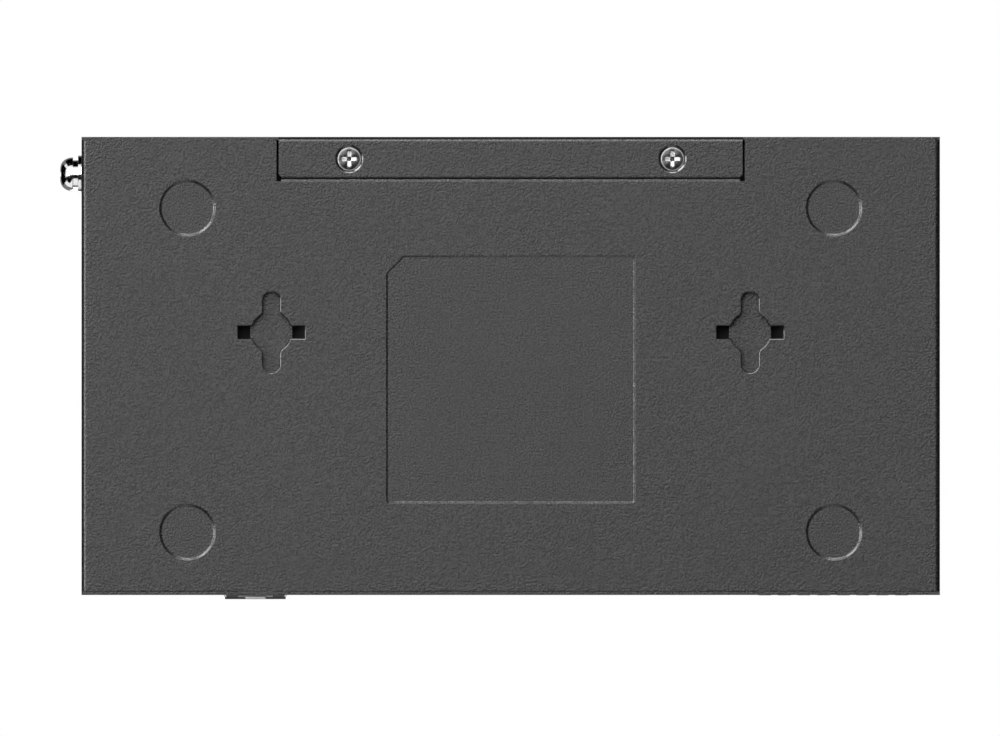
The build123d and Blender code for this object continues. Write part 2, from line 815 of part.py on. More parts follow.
write("power_jack_pin", rod_y(power_x, power_z, bore_end, pin_tip, power_pin_diameter / 2))
power_spring = block(
    power_x - power_spring_width / 2, power_x + power_spring_width / 2, bore_end, spring_front,
    spring_bottom, spring_bottom + power_spring_thickness,
)
write("power_jack_spring", power_spring)

# Light pipe: one moulding of flat bars, each bent down to its light past a mirror facet
tip_half = light_tip_height / 2
tip_front = front_face - light_proud
elbow_y = front_inside + light_reach
led_top = board_top + led_height
pipe_section = make_face(Polyline(
    (tip_front, light_z - tip_half),
    (elbow_y - tip_half, light_z - tip_half),
    (elbow_y - tip_half, led_top + led_gap),
    (elbow_y + tip_half, led_top + led_gap),
    (elbow_y + tip_half, light_z - tip_half),
    (elbow_y - tip_half, light_z + tip_half),
    (tip_front, light_z + tip_half),
    close=True,
))
pipe_ends = (light_places[0] - light_tip_width / 2, light_places[-1] + light_tip_width / 2)
bar_front = elbow_y - tip_half - light_bar_depth
light_pipe = block(*pipe_ends, bar_front, elbow_y - tip_half, light_z - tip_half, light_z + tip_half)
leds = []
for x in light_places:
    light_pipe += along_x(pipe_section, x - light_tip_width / 2, x + light_tip_width / 2)
    leds.append(block(
        x - led_width / 2, x + led_width / 2, elbow_y - led_length / 2, elbow_y + led_length / 2,
        board_top, led_top,
    ))
for x in (light_places[0] + light_pitch / 2, light_places[-1] - light_pitch / 2):
    light_pipe += block(
        x - light_leg_width / 2, x + light_leg_width / 2, bar_front, elbow_y - tip_half,
        board_top, light_z,
    )
write("light_pipe", light_pipe)
write("status_leds", *leds)

# Reset switch: a body on the board with a flanged button that is pressed through the pinhole
switch_front = front_inside + switch_front_gap
switch_rear = switch_front + switch_depth
reset_switch = block(
    reset_x - switch_width / 2, reset_x + switch_width / 2, switch_front, switch_rear,
    board_top, board_top + switch_height,
)
button_front = switch_front - button_reach
flange_plane = switch_front + sheet
flange_end = flange_plane + button_flange
pocket_end = flange_end + button_travel + button_fit


def button_block(spread, y0, y1):
    """A length of the button's section, or of the pocket round it."""
    return block(
        reset_x - button_width / 2 - spread, reset_x + button_width / 2 + spread, y0, y1,
        button_z - button_height / 2 - spread, button_z + button_height / 2 + spread,
    )


reset_switch -= button_block(button_fit, switch_front, flange_plane)
reset_switch -= button_block(button_flange + button_fit, flange_plane - button_fit, pocket_end)
reset_button = button_block(0, button_front, flange_end)
reset_button += button_block(button_flange, flange_plane, flange_end)
write("reset_switch", reset_switch)
write("reset_button", reset_button)

# Line transformers in a row behind the sockets
transformer_y = jack_rear + transformer_gap + transformer_length / 2
chip_row = transformer_y + transformer_length / 2 + chip_gap
transformer_xs = (
    lan_middle_x - transformer_pitch / 2,
    lan_middle_x + transformer_pitch / 2,
    wan_middle_x,
)
transformers = []
for x in transformer_xs:
    footprint = Pos(x, transformer_y, board_top) * Rectangle(transformer_width, transformer_length)
    transformers.append(extrude(footprint, transformer_height, taper=transformer_taper))
write("line_transformers", *transformers)

# Processor under a finned heat sink, which a pad glues to the package
sink_half = sink_size / 2
router_chip_x = lan_middle_x + router_from_lan
router_chip_y = chip_row + sink_half


def chip(x, y, size_x, size_y, thickness):
    """A flat package on the board."""
    return block(
        x - size_x / 2, x + size_x / 2, y - size_y / 2, y + size_y / 2, board_top, board_top + thickness
    )


chip_top = board_top + chip_thickness
pad_top = chip_top + pad_thickness
fin_pitch = (sink_size - fin_thickness) / (fin_count - 1)
sink_section = Pos(router_chip_x, pad_top + sink_base / 2) * Rectangle(sink_size, sink_base)
fin = Rectangle(fin_thickness, sink_height)
for i in range(fin_count):
    fin_x = router_chip_x - sink_half + fin_thickness / 2 + i * fin_pitch
    sink_section += Pos(fin_x, pad_top + sink_height / 2) * fin
heat_sink = along_y(sink_section, router_chip_y - sink_half, router_chip_y + sink_half)
heat_sink_pad = Pos(0, 0, chip_thickness) * chip(
    router_chip_x, router_chip_y, router_chip_size, router_chip_size, pad_thickness
)
write("main_board", main_board)
write("router_chip", chip(router_chip_x, router_chip_y, router_chip_size, router_chip_size, chip_thickness))
write("heat_sink", heat_sink)
write("heat_sink_pad", heat_sink_pad)

# Memory beside the processor, and the switch with its start-up memory and crystal
memory_x = router_chip_x + sink_half + memory_from_sink + memory_width / 2
memory_y = cage_rear + memory_from_cage + memory_length / 2
write("memory_chips", *[
    chip(memory_x, y, memory_width, memory_length, chip_thickness) for y in (memory_y, memory_y + memory_pitch)
])
switch_chip_x = lan_middle_x + switch_from_lan
switch_chip_y = chip_row + switch_chip_size / 2
write("switch_chip", chip(switch_chip_x, switch_chip_y, switch_chip_size, switch_chip_size, chip_thickness))
flash_x = switch_chip_x - switch_chip_size / 2 - flash_from_switch - flash_width / 2
flash_y = chip_row + flash_length / 2
write("flash_chip", chip(flash_x, flash_y, flash_width, flash_length, chip_thickness))
crystal_y = switch_chip_y + switch_chip_size / 2 + crystal_gap + crystal_length / 2
write("crystal", chip(switch_chip_x, crystal_y, crystal_width, crystal_length, crystal_height))

# Power stage between the inlet and the middle of the board
capacitor_y = power_back - capacitor_gap - capacitor_diameter / 2
inductor_y = capacitor_y - capacitor_diameter / 2 - inductor_gap - inductor_size / 2
inductor_sketch = chamfer(Rectangle(inductor_size, inductor_size).vertices(), inductor_corner)
inductors = []
capacitors = []
for i in range(inductor_count):
    x = power_x + (i - (inductor_count - 1) / 2) * inductor_pitch
    inductors.append(along_z(Pos(x, inductor_y) * inductor_sketch, board_top, board_top + inductor_height))
for i in range(capacitor_count):
    x = power_x + (i - (capacitor_count - 1) / 2) * capacitor_pitch
    capacitors.append(post(x, capacitor_y, board_top, board_top + capacitor_height, capacitor_diameter / 2))
write("power_inductors", *inductors)
write("capacitors", *capacitors)
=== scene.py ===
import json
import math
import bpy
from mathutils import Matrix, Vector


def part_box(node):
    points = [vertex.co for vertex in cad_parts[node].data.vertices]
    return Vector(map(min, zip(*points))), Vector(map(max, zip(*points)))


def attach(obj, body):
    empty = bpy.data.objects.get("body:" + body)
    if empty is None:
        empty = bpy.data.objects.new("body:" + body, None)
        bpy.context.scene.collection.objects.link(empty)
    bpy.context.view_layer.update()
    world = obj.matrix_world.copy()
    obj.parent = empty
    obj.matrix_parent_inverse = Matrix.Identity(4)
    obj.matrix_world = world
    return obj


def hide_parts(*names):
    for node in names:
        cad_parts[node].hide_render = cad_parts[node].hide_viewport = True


bl_info = {
    "name": "Desktop Ethernet Router",
    "version": (1, 0, 0),
    "blender": (4, 5, 0),
    "location": "View3D > Sidebar > Router",
    "description": "Finishes, fine pieces, lamps and camera for a folded steel desktop router",
    "category": "Object",
}

import bmesh
import bpy
from bpy.props import FloatProperty, FloatVectorProperty, PointerProperty
from mathutils import Matrix, Vector

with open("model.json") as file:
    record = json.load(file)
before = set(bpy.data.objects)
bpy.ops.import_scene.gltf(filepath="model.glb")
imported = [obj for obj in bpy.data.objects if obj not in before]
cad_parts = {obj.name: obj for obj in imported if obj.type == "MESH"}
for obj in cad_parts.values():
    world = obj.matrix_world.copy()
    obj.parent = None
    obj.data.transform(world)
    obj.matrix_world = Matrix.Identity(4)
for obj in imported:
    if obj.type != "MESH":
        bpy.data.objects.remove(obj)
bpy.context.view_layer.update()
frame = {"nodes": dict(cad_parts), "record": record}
MOUNTS = {mount["name"]: mount["pos_m"] for mount in frame["record"]["mounts"]}
CHASSIS = "chassis"

# Sizes of the sheet and of the openings that the fine pieces edge, in millimetres
SHEET = 0.8
KEYHOLE_RADIUS = 4.95
SLOT_RADIUS = 2.25
SLOT_END = 7.5
SLOT_BLEND = 1.2
WINDOW_REACH = 8.05
WINDOW_HALF = 1.7
FOOT_RADIUS = 6.65
LABEL_HALF_WIDTH = 29.3
LABEL_FRONT = -32.35
LABEL_REAR = 25.95
LABEL_CORNER = 0.8
LABEL_CHAMFER = 4.1

# Edges of those openings in millimetres: the radius of the rolled one, how far the pieces overlap the flat
# round the opening and stand proud of it, and how far inside and how high each point of a coined step lies
EDGE_ROLL = 0.27
EDGE_OVERLAP = 0.03
EDGE_PROUD = 0.004
FOOT_STEP = [(-0.04, -0.004), (0.02, 0.003), (0.06, 0.015), (0.36, 0.165), (0.42, 0.19), (0.6, 0.252)]
LABEL_STEP = [(-0.04, -0.004), (0.015, 0.003), (0.04, 0.012), (0.2, 0.12), (0.25, 0.15), (0.4, 0.202)]

# Turned profiles of the screws: radius and height from the head's plane, in millimetres
COVER_HEAD_RADIUS = 2.75
COVER_SCREW = [
    (0, 0), (2.6, 0), (2.7, 0.05), (COVER_HEAD_RADIUS, 0.14), (2.68, 0.2), (1.5, 1.25),
    (1.5, 3.7), (1.3, 4.0), (0, 4.0),
]
EARTH_HEAD_RADIUS = 3.95
EARTH_DOME_WIDTH = 2.5
EARTH_DOME_HEIGHT = 2.8
EARTH_SHANK = [(3.95, 2.95), (3.9, 3.0), (2.0, 3.0), (2.0, 10.7), (1.7, 11.0), (0, 11.0)]

# Turned profile of the mouth round a cover screw: radius and height from the underside, in millimetres
SCREW_MOUTH = [
    (3.36, -0.004), (3.29, 0.0), (3.2, 0.03), (2.92, 0.155), (2.82, 0.22), (2.77, 0.35), (2.765, 0.54),
]

# Bead along the lower lip of the transceiver cage in millimetres, and its stretch along each axis
BEAD_RADIUS = 0.26
BEAD_HALF_LENGTH = 2.45
BEAD_FROM_BAND = (-0.06, 0.45, 0.05)
BEAD_STRETCH = (1.0, 1.35, 1.0)

# Sockets of Blender's mix node, which share their names: greys first, then colours
GREY_A, GREY_B, GREY_RESULT = 2, 3, 0
COLOUR_A, COLOUR_B, COLOUR_RESULT = 6, 7, 2

# Where every noise starts, and how many rays feel for each rounded edge
NOISE_START = (0.37, 0.61, 0.43)
ROUNDING_SAMPLES = 6


class RouterCaseSettings(bpy.types.PropertyGroup):
    """Powder coat of the folded case."""

    paint: FloatVectorProperty(
        name="Paint", description="Colour of the powder coat", subtype="COLOR",
        size=3, min=0.0, max=1.0, default=(0.0158, 0.0158, 0.0162))
    roughness: FloatProperty(
        name="Paint roughness", description="How dull the powder coat is",
        subtype="FACTOR", min=0.0, max=1.0, default=0.23)
    grain: FloatProperty(
        name="Paint grain", description="Size of one grain of the powder coat",
        unit="LENGTH", min=0.0, default=0.00042)
    rim: FloatProperty(
        name="Rim radius", description="Rounding that the coat leaves on cut and pressed rims",
        unit="LENGTH", min=0.0, default=0.00014)


class RouterMetalSettings(bpy.types.PropertyGroup):
    """Platings and bare metals."""

    # Also the colour of the painted highlight along the cover screws' edges.
    plating: FloatVectorProperty(
        name="Terminal plating", description="Bright nickel on the earth terminal",
        subtype="COLOR", size=3, min=0.0, max=1.0, default=(0.86, 0.86, 0.87))
    screw: FloatVectorProperty(
        name="Cover screws", description="Dark coating of the countersunk screws",
        subtype="COLOR", size=3, min=0.0, max=1.0, default=(0.1, 0.1, 0.102))
    # Bright steel: bare on the cage's lip bead, and a painted highlight on the cover screws' driver crosses
    # and head rims.
    bright_metal_and_painted_highlight: FloatVectorProperty(
        name="Bare steel", description="Steel that shows in the worn driver crosses",
        subtype="COLOR", size=3, min=0.0, max=1.0, default=(0.9, 0.9, 0.9))
    zinc: FloatVectorProperty(
        name="Zinc", description="Zinc plating on the fixings inside",
        subtype="COLOR", size=3, min=0.0, max=1.0, default=(0.56, 0.57, 0.6))
    tin: FloatVectorProperty(
        name="Tinned sheet", description="Tinned sheet of the socket shields and the cage",
        subtype="COLOR", size=3, min=0.0, max=1.0, default=(0.52, 0.52, 0.535))
    spring: FloatVectorProperty(
        name="Spring strip", description="Spring strip round the cage's mouth",
        subtype="COLOR", size=3, min=0.0, max=1.0, default=(0.072, 0.072, 0.074))
    gold: FloatVectorProperty(
        name="Contacts", description="Gold flash on the spring contacts",
        subtype="COLOR", size=3, min=0.0, max=1.0, default=(0.8, 0.57, 0.24))
    sink: FloatVectorProperty(
        name="Heat sink", description="Black anodising of the heat sink",
        subtype="COLOR", size=3, min=0.0, max=1.0, default=(0.03, 0.03, 0.033))


class RouterPlasticSettings(bpy.types.PropertyGroup):
    """Mouldings, laminate and packages."""

    housing: FloatVectorProperty(
        name="Housings", description="Black moulding of the sockets and the power inlet",
        subtype="COLOR", size=3, min=0.0, max=1.0, default=(0.014, 0.014, 0.015))
    resist: FloatVectorProperty(
        name="Solder resist", description="Black resist on the board",
        subtype="COLOR", size=3, min=0.0, max=1.0, default=(0.008, 0.008, 0.009))
    package: FloatVectorProperty(
        name="Packages", description="Epoxy of the chips and transformers",
        subtype="COLOR", size=3, min=0.0, max=1.0, default=(0.024, 0.024, 0.026))
    ferrite: FloatVectorProperty(
        name="Inductors", description="Pressed powder of the power inductors",
        subtype="COLOR", size=3, min=0.0, max=1.0, default=(0.12, 0.12, 0.125))
    pipe: FloatVectorProperty(
        name="Light pipe", description="Milky moulding of the light pipe",
        subtype="COLOR", size=3, min=0.0, max=1.0, default=(0.74, 0.77, 0.78))
    lens: FloatVectorProperty(
        name="Lenses", description="Yellow resin of the status lights",
        subtype="COLOR", size=3, min=0.0, max=1.0, default=(0.8, 0.76, 0.5))
    pad: FloatVectorProperty(
        name="Heat pad", description="Soft pad that glues the heat sink to the processor",
        subtype="COLOR", size=3, min=0.0, max=1.0, default=(0.36, 0.4, 0.45))


class RouterStageSettings(bpy.types.PropertyGroup):
    """Camera, floor and lamps."""

    view_width: FloatProperty(
        name="View width", description="Width of what the camera sees",
        unit="LENGTH", min=0.01, default=0.23533)
    camera: FloatVectorProperty(
        name="Camera place", description="Where the camera stands as it looks up at the underside",
        subtype="TRANSLATION", unit="LENGTH", size=3, default=(0.00252, -0.00048, -0.5))
    floor: FloatVectorProperty(
        name="Floor", description="Colour of the floor", subtype="COLOR",
        size=3, min=0.0, max=1.0, default=(0.8, 0.8, 0.8))
    floor_gap: FloatProperty(
        name="Floor gap", description="Distance of the floor below the case",
        unit="LENGTH", min=0.0, default=0.0004)
    key: FloatProperty(
        name="Key light", description="Light of the lamp at the upper left of the underside",
        min=0.0, default=0.178)
    strips: FloatProperty(
        name="Strip lights", description="Light of each lamp that draws lines along the bends",
        min=0.0, default=0.31)
    rims: FloatProperty(
        name="Rim light", description="Light of the tilted lamp that draws the rims of the recesses",
        min=0.0, default=0.42)
    room: FloatProperty(
        name="Room light", description="Even light from all round",
        min=0.0, default=0.1)


class Finish:
    """One material while it is made: its nodes and its main shader."""

    def __init__(self, name, metallic=0.0, specular=0.5):
        self.material = bpy.data.materials.new(name)
        self.material.use_nodes = True
        self.nodes = self.material.node_tree.nodes
        self.links = self.material.node_tree.links
        self.shader = self.nodes["Principled BSDF"]
        self.set("Metallic", metallic)
        self.set("Specular IOR Level", specular)
        self.place = self.nodes.new("ShaderNodeTexCoord").outputs["Object"]

    def set(self, name, value):
        """Plain value of one of the shader's sockets."""
        self.shader.inputs[name].default_value = value

    def noise(self, size, detail=2.0, stretch=(1.0, 1.0, 1.0)):
        """Noise whose features are about that size in metres, longer along the stretched axes."""
        mapping = self.nodes.new("ShaderNodeMapping")
        mapping.inputs["Scale"].default_value = [1.0 / (size * s) for s in stretch]
        mapping.inputs["Location"].default_value = NOISE_START
        noise = self.nodes.new("ShaderNodeTexNoise")
        noise.inputs["Scale"].default_value = 1.0
        noise.inputs["Detail"].default_value = detail
        self.links.new(self.place, mapping.inputs["Vector"])
        self.links.new(mapping.outputs["Vector"], noise.inputs["Vector"])
        return noise.outputs["Fac"]

    def cells(self, size):
        """Distance to the nearest point of a random scatter, for pads and pits."""
        cells = self.nodes.new("ShaderNodeTexVoronoi")
        cells.inputs["Scale"].default_value = 1.0 / size
        self.links.new(self.place, cells.inputs["Vector"])
        return cells.outputs["Distance"]

    def rounding(self, radius):
        """Normal of the surface with its edges rounded by that radius."""
        rounding = self.nodes.new("ShaderNodeBevel")
        rounding.samples = ROUNDING_SAMPLES
        rounding.inputs["Radius"].default_value = radius
        return rounding.outputs["Normal"]

    def edges(self, radius, start, end):
        """1 on edges, 0 on flats: how far the normal turns when edges are rounded by that radius."""
        face = self.nodes.new("ShaderNodeNewGeometry")
        likeness = self.nodes.new("ShaderNodeVectorMath")
        likeness.operation = "DOT_PRODUCT"
        self.links.new(self.rounding(radius), likeness.inputs[0])
        self.links.new(face.outputs["True Normal"], likeness.inputs[1])
        return self.spread(likeness.outputs["Value"], 0.0, 1.0, start, end)

    def spread(self, source, low, high, start=0.3, end=0.7):
        """The source between start and end, spread over low to high."""
        spread = self.nodes.new("ShaderNodeMapRange")
        for name, value in (("From Min", start), ("From Max", end), ("To Min", low), ("To Max", high)):
            spread.inputs[name].default_value = value
        self.links.new(source, spread.inputs["Value"])
        return spread.outputs["Result"]

    def joined(self, first, second, share=0.5):
        """Two greys mixed, with that share of the second."""
        mix = self.nodes.new("ShaderNodeMix")
        mix.inputs["Factor"].default_value = share
        self.links.new(first, mix.inputs[GREY_A])
        self.links.new(second, mix.inputs[GREY_B])
        return mix.outputs[GREY_RESULT]

    def colour(self, source, dark, light):
        """Base colour that runs from dark to light with the source."""
        mix = self.nodes.new("ShaderNodeMix")
        mix.data_type = "RGBA"
        mix.inputs[COLOUR_A].default_value = (*dark, 1.0)
        mix.inputs[COLOUR_B].default_value = (*light, 1.0)
        self.links.new(source, mix.inputs["Factor"])
        self.links.new(mix.outputs[COLOUR_RESULT], self.shader.inputs["Base Color"])

    def dullness(self, source, low, high):
        """Roughness that runs from low to high with the source."""
        self.set("Roughness", (low + high) / 2)
        self.links.new(self.spread(source, low, high), self.shader.inputs["Roughness"])

    def relief(self, source, depth, strength=1.0, rim=0.0):
        """Raised grain of that depth in metres, over edges rounded by the rim radius."""
        bump = self.nodes.new("ShaderNodeBump")
        bump.inputs["Distance"].default_value = depth
        bump.inputs["Strength"].default_value = strength
        self.links.new(source, bump.inputs["Height"])
        if rim:
            self.links.new(self.rounding(rim), bump.inputs["Normal"])
        self.links.new(bump.outputs["Normal"], self.shader.inputs["Normal"])


def shade(colour, factor):
    """The colour made lighter or darker by that factor."""
    return tuple(min(1.0, channel * factor) for channel in colour)


def powder_coat(name, settings, roughness, specular, depth, rim=0.0):
    """Fine powder coat: grain in colour, gloss and relief, and slow unevenness."""
    finish = Finish(name, specular=specular)
    grain = finish.noise(settings.grain, detail=3.0)
    cloud = finish.noise(0.02)
    finish.colour(
        finish.joined(
            finish.spread(grain, 0.0, 1.0, start=0.35, end=0.65), finish.spread(cloud, 0.3, 0.7), share=0.2),
        shade(settings.paint, 0.1), shade(settings.paint, 1.9))
    finish.dullness(grain, roughness * 1.2, roughness * 0.8)
    finish.relief(grain, depth, rim=rim)
    return finish.material


def wall_coat(settings):
    """Powder coat on the flats of the case."""
    return powder_coat(
        "powder_coat", settings, settings.roughness, specular=0.5, depth=0.00007, rim=settings.rim)


def recess_coat(settings):
    """Smoother coat on the coined rims of the recesses."""
    return powder_coat(
        "powder_coat_on_recesses", settings, settings.roughness * 0.95, specular=0.6, depth=0.00004)


def rim_coat(settings):
    """Glossy, nearly smooth coat where it has drawn thin over rolled edges."""
    return powder_coat(
        "powder_coat_on_rims", settings, settings.roughness * 0.4, specular=1.0, depth=0.00002)


def metal(name, colour, shades, grain, dull, depth, strength=0.5, detail=2.0,
          stretch=(1.0, 1.0, 1.0), rim=0.0, metallic=1.0):
    """Plated or uncoated metal, with one grain in its colour, its dullness and its relief."""
    finish = Finish(name, metallic=metallic)
    noise = finish.noise(grain, detail, stretch)
    finish.colour(noise, shade(colour, shades[0]), shade(colour, shades[1]))
    finish.dullness(noise, *dull)
    finish.relief(noise, depth, strength, rim)
    return finish.material


def bare_steel_and_painted_highlight(settings):
    """Bright rough steel: bare on the cage's lip bead, and a painted highlight on the cover screws' driver
    crosses and head rims.
    """
    return metal(
        "punched_steel_and_painted_highlight", settings.bright_metal_and_painted_highlight, shades=(0.85, 1.08), grain=0.0003, dull=(0.52, 0.7),
        depth=0.00002)


def bright_nickel(settings):
    """Bright nickel with faint orange peel."""
    return metal(
        "bright_nickel", settings.plating, shades=(0.9, 1.06), grain=0.0009, dull=(0.07, 0.16),
        depth=0.00002, strength=0.3, rim=0.0001)


def zinc_plate(settings):
    """Passivated zinc, slightly mottled."""
    return metal(
        "zinc_plate", settings.zinc, shades=(0.8, 1.12), grain=0.0012, dull=(0.26, 0.42),
        depth=0.00001, detail=3.0)


def spring_strip(settings):
    """Dark tempered strip, with lines along its rolling direction."""
    return metal(
        "spring_strip", settings.spring, shades=(0.7, 1.25), grain=0.00015, dull=(0.28, 0.42),
        depth=0.000008, stretch=(20.0, 1.0, 1.0))


def gold_flash(settings):
    """Thin gold over drawn wire."""
    return metal(
        "gold_flash", settings.gold, shades=(0.82, 1.12), grain=0.0001, dull=(0.14, 0.28),
        depth=0.000004, stretch=(1.0, 25.0, 1.0))


def black_anodised(settings):
    """Extruded aluminium, black anodised, with draw lines along the fins."""
    return metal(
        "black_anodised", settings.sink, shades=(0.75, 1.4), grain=0.0002, dull=(0.34, 0.48),
        depth=0.00001, stretch=(1.0, 60.0, 1.0), rim=0.0001, metallic=0.6)


def coated_screw(settings):
    """Dark coating over a turned and punched head, with a painted highlight: light nickel colour along its
    rounded edges.
    """
    finish = Finish("coated_screw_with_painted_edge_highlight", metallic=1.0)
    turned = finish.noise(0.0002)
    # Painted highlight: the colour runs from the dark coat to light nickel where the edges are rounded.
    painted_edge_highlight = finish.edges(0.00014, start=0.985, end=0.93)
    finish.colour(painted_edge_highlight, shade(settings.screw, 0.6), settings.plating)
    finish.dullness(turned, 0.24, 0.36)
    finish.relief(turned, 0.00001, strength=0.4, rim=0.0001)
    return finish.material


def tinned_sheet(settings):
    """Rolled sheet: fine lines along its length and soft dull patches."""
    finish = Finish("tinned_sheet", metallic=1.0)
    rolled = finish.noise(0.00012, stretch=(30.0, 1.0, 1.0))
    patches = finish.noise(0.006, detail=3.0)
    finish.colour(
        finish.joined(rolled, patches, share=0.4), shade(settings.tin, 0.82), shade(settings.tin, 1.12))
    finish.dullness(finish.joined(rolled, patches), 0.2, 0.38)
    finish.relief(rolled, 0.000006, strength=0.5, rim=0.00006)
    return finish.material


def moulding(name, colour, roughness, grain=0.0003, depth=0.00003):
    """Spark-eroded moulded surface, with slow flow marks."""
    finish = Finish(name, specular=0.45)
    erosion = finish.noise(grain, detail=3.0)
    flow = finish.noise(0.008)
    finish.colour(finish.joined(erosion, flow, share=0.4), shade(colour, 0.8), shade(colour, 1.2))
    finish.dullness(erosion, roughness - 0.06, roughness + 0.08)
    finish.relief(erosion, depth, strength=0.5, rim=0.00008)
    return finish.material


def solder_resist(settings):
    """Dull resist over a faint pattern of tracks and pads."""
    finish = Finish("solder_resist", specular=0.2)
    pads = finish.cells(0.0021)
    weave = finish.noise(0.0006)
    finish.colour(
        finish.joined(finish.spread(pads, 1.0, 0.0, start=0.1, end=0.5), weave, share=0.4),
        shade(settings.resist, 0.6), shade(settings.resist, 1.6))
    finish.dullness(weave, 0.48, 0.62)
    finish.relief(pads, 0.00002, strength=0.4)
    return finish.material


def milky_pipe(settings):
    """Clear resin, slightly milky."""
    finish = Finish("milky_pipe")
    flow = finish.noise(0.003)
    finish.colour(flow, shade(settings.pipe, 0.9), shade(settings.pipe, 1.08))
    finish.dullness(flow, 0.16, 0.3)
    finish.relief(flow, 0.00002, strength=0.3)
    finish.set("Transmission Weight", 0.35)
    finish.set("IOR", 1.49)
    return finish.material


def once(name, make, settings):
    """The material of that name, made now if it isn't there yet."""
    return bpy.data.materials.get(name) or make(settings)


def dress(material, *nodes):
    """Gives the material to whole CAD nodes."""
    for name in nodes:
        node = frame["nodes"][name]
        if not node.material_slots:
            node.data.materials.append(material)
        for place in node.material_slots:
            place.material = material


def millimetres(*values):
    """The values, given in millimetres, in metres."""
    return [value / 1000 for value in values]


def new_piece(name, mesh, replaced=()):
    """Puts a finished mesh on the case, in the place of the CAD nodes named."""
    piece = bpy.data.objects.new(name, mesh)
    bpy.context.scene.collection.objects.link(piece)
    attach(piece, CHASSIS)
    if replaced:
        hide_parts(*replaced)
    return piece


def as_mesh(form, name, *materials):
    """The form turned into a mesh, which uses it up."""
    mesh = bpy.data.meshes.new(name)
    form.to_mesh(mesh)
    form.free()
    for material in materials:
        mesh.materials.append(material)
    return mesh


def smooth(mesh, fold=180):
    """Shades the mesh smooth, apart from folds sharper than that many degrees."""
    for face in mesh.polygons:
        face.use_smooth = True
    mesh.set_sharp_from_angle(angle=math.radians(fold))
    return mesh


def repeated(mesh, name, places):
    """One mesh with a copy of the given one at each place, which uses it up."""
    form = bmesh.new()
    for place in places:
        copy = mesh.copy()
        copy.transform(place)
        form.from_mesh(copy)
        bpy.data.meshes.remove(copy)
    joined = as_mesh(form, name, *mesh.materials)
    bpy.data.meshes.remove(mesh)
    return joined


def arc(x, y, radius, start, end, steps):
    """Points on an arc, from one angle to another in degrees."""
    turns = (math.radians(start + (end - start) * i / steps) for i in range(steps + 1))
    return [(x + radius * math.cos(turn), y + radius * math.sin(turn)) for turn in turns]


def turned_form(profile, steps=72):
    """A turned solid about Z from its radius and height points in millimetres."""
    nearly_nothing = 1e-9
    form = bmesh.new()
    rings = []
    for radius, height in profile:
        count = steps if radius > nearly_nothing else 1
        rings.append([
            form.verts.new(millimetres(radius * math.cos(turn), radius * math.sin(turn), height))
            for turn in (math.tau * i / steps for i in range(count))
        ])
    for lower, upper in zip(rings, rings[1:]):
        for i in range(steps):
            corners = [lower[i % len(lower)], lower[(i + 1) % len(lower)]]
            corners += [upper[(i + 1) % len(upper)], upper[i % len(upper)]]
            form.faces.new(list(dict.fromkeys(corners)))
    bmesh.ops.recalc_face_normals(form, faces=form.faces)
    return form


def driver_bar(span, arm, depth):
    """One bar of a driver cross in millimetres, from just outside the head and narrower with depth."""
    lead = -0.4
    taper = math.tan(math.radians(12))
    corner = 0.25 * arm
    form = bmesh.new()
    for height in (lead, depth):
        half_x = span / 2 - height * taper
        half_y = arm / 2 - height * taper
        for sign_x, sign_y in ((1, 1), (-1, 1), (-1, -1), (1, -1)):
            for x, y in arc(half_x - corner, half_y - corner, corner, 0, 90, 3):
                form.verts.new(millimetres(sign_x * x, sign_y * y, height))
    bmesh.ops.convex_hull(form, input=form.verts)
    return form


def loose_object(form, name):
    """An object of the form that only helps to cut another."""
    piece = bpy.data.objects.new(name, as_mesh(form, name))
    bpy.context.scene.collection.objects.link(piece)
    return piece


def punched_blank(name, profile, punches, edge):
    """Mesh of a turned blank with the punches' forms sunk into it and its edges softened."""
    blank = loose_object(turned_form(profile), name + "_blank")
    for punch in punches:
        cut = blank.modifiers.new("punch", "BOOLEAN")
        cut.object = punch
        cut.operation = "DIFFERENCE"
        cut.solver = "EXACT"
    soften = blank.modifiers.new("soften", "BEVEL")
    soften.width = edge / 1000
    soften.segments = 2
    soften.limit_method = "ANGLE"
    soften.angle_limit = math.radians(35)
    context = bpy.context.evaluated_depsgraph_get()
    context.update()
    mesh = bpy.data.meshes.new_from_object(blank.evaluated_get(context))
    mesh.name = name
    for piece in (blank, *punches):
        old = piece.data
        bpy.data.objects.remove(piece)
        bpy.data.meshes.remove(old)
    return mesh


def punched_screw(name, profile, span, arm, depth, pit_radius, pit_depth, edge, coat, bright_metal_and_painted_highlight):
    """Mesh of a turned screw whose driver cross is punched up from the head's plane at z = 0.

    The sizes are in millimetres. The cross's arms and the head's rim get the second finish, bright metal as
    a painted highlight."""
    lead = -0.2
    pit = [(0, lead), (pit_radius, lead), (pit_radius * 0.8, depth)]
    pit += [(pit_radius * 0.3, pit_depth), (0, pit_depth)]
    punches = [loose_object(driver_bar(span, arm, depth), name + "_punch") for bar in range(2)]
    punches[1].rotation_euler = (0, 0, math.pi / 2)
    punches.append(loose_object(turned_form(pit, 24), name + "_pit"))
    mesh = punched_blank(name, profile, punches, edge)
    mesh.materials.clear()
    mesh.materials.append(coat)
    mesh.materials.append(bright_metal_and_painted_highlight)
    slack = 0.05
    skin = 0.02
    rim_start = max(radius for radius, height in profile) - 0.12
    rim_height = 0.2
    # The arms of the driver cross and the head's rim get the bright finish, a painted highlight there.
    for face in mesh.polygons:
        x, y, height = face.center * 1000
        out = math.hypot(x, y)
        across = min(abs(x), abs(y)) < arm / 2 + slack
        on_arm = across and pit_radius < out < span / 2 + slack and skin < height < depth + 2 * slack
        on_rim = out > rim_start and height < rim_height
        face.material_index = int(on_arm or on_rim)
    return smooth(mesh, fold=40)


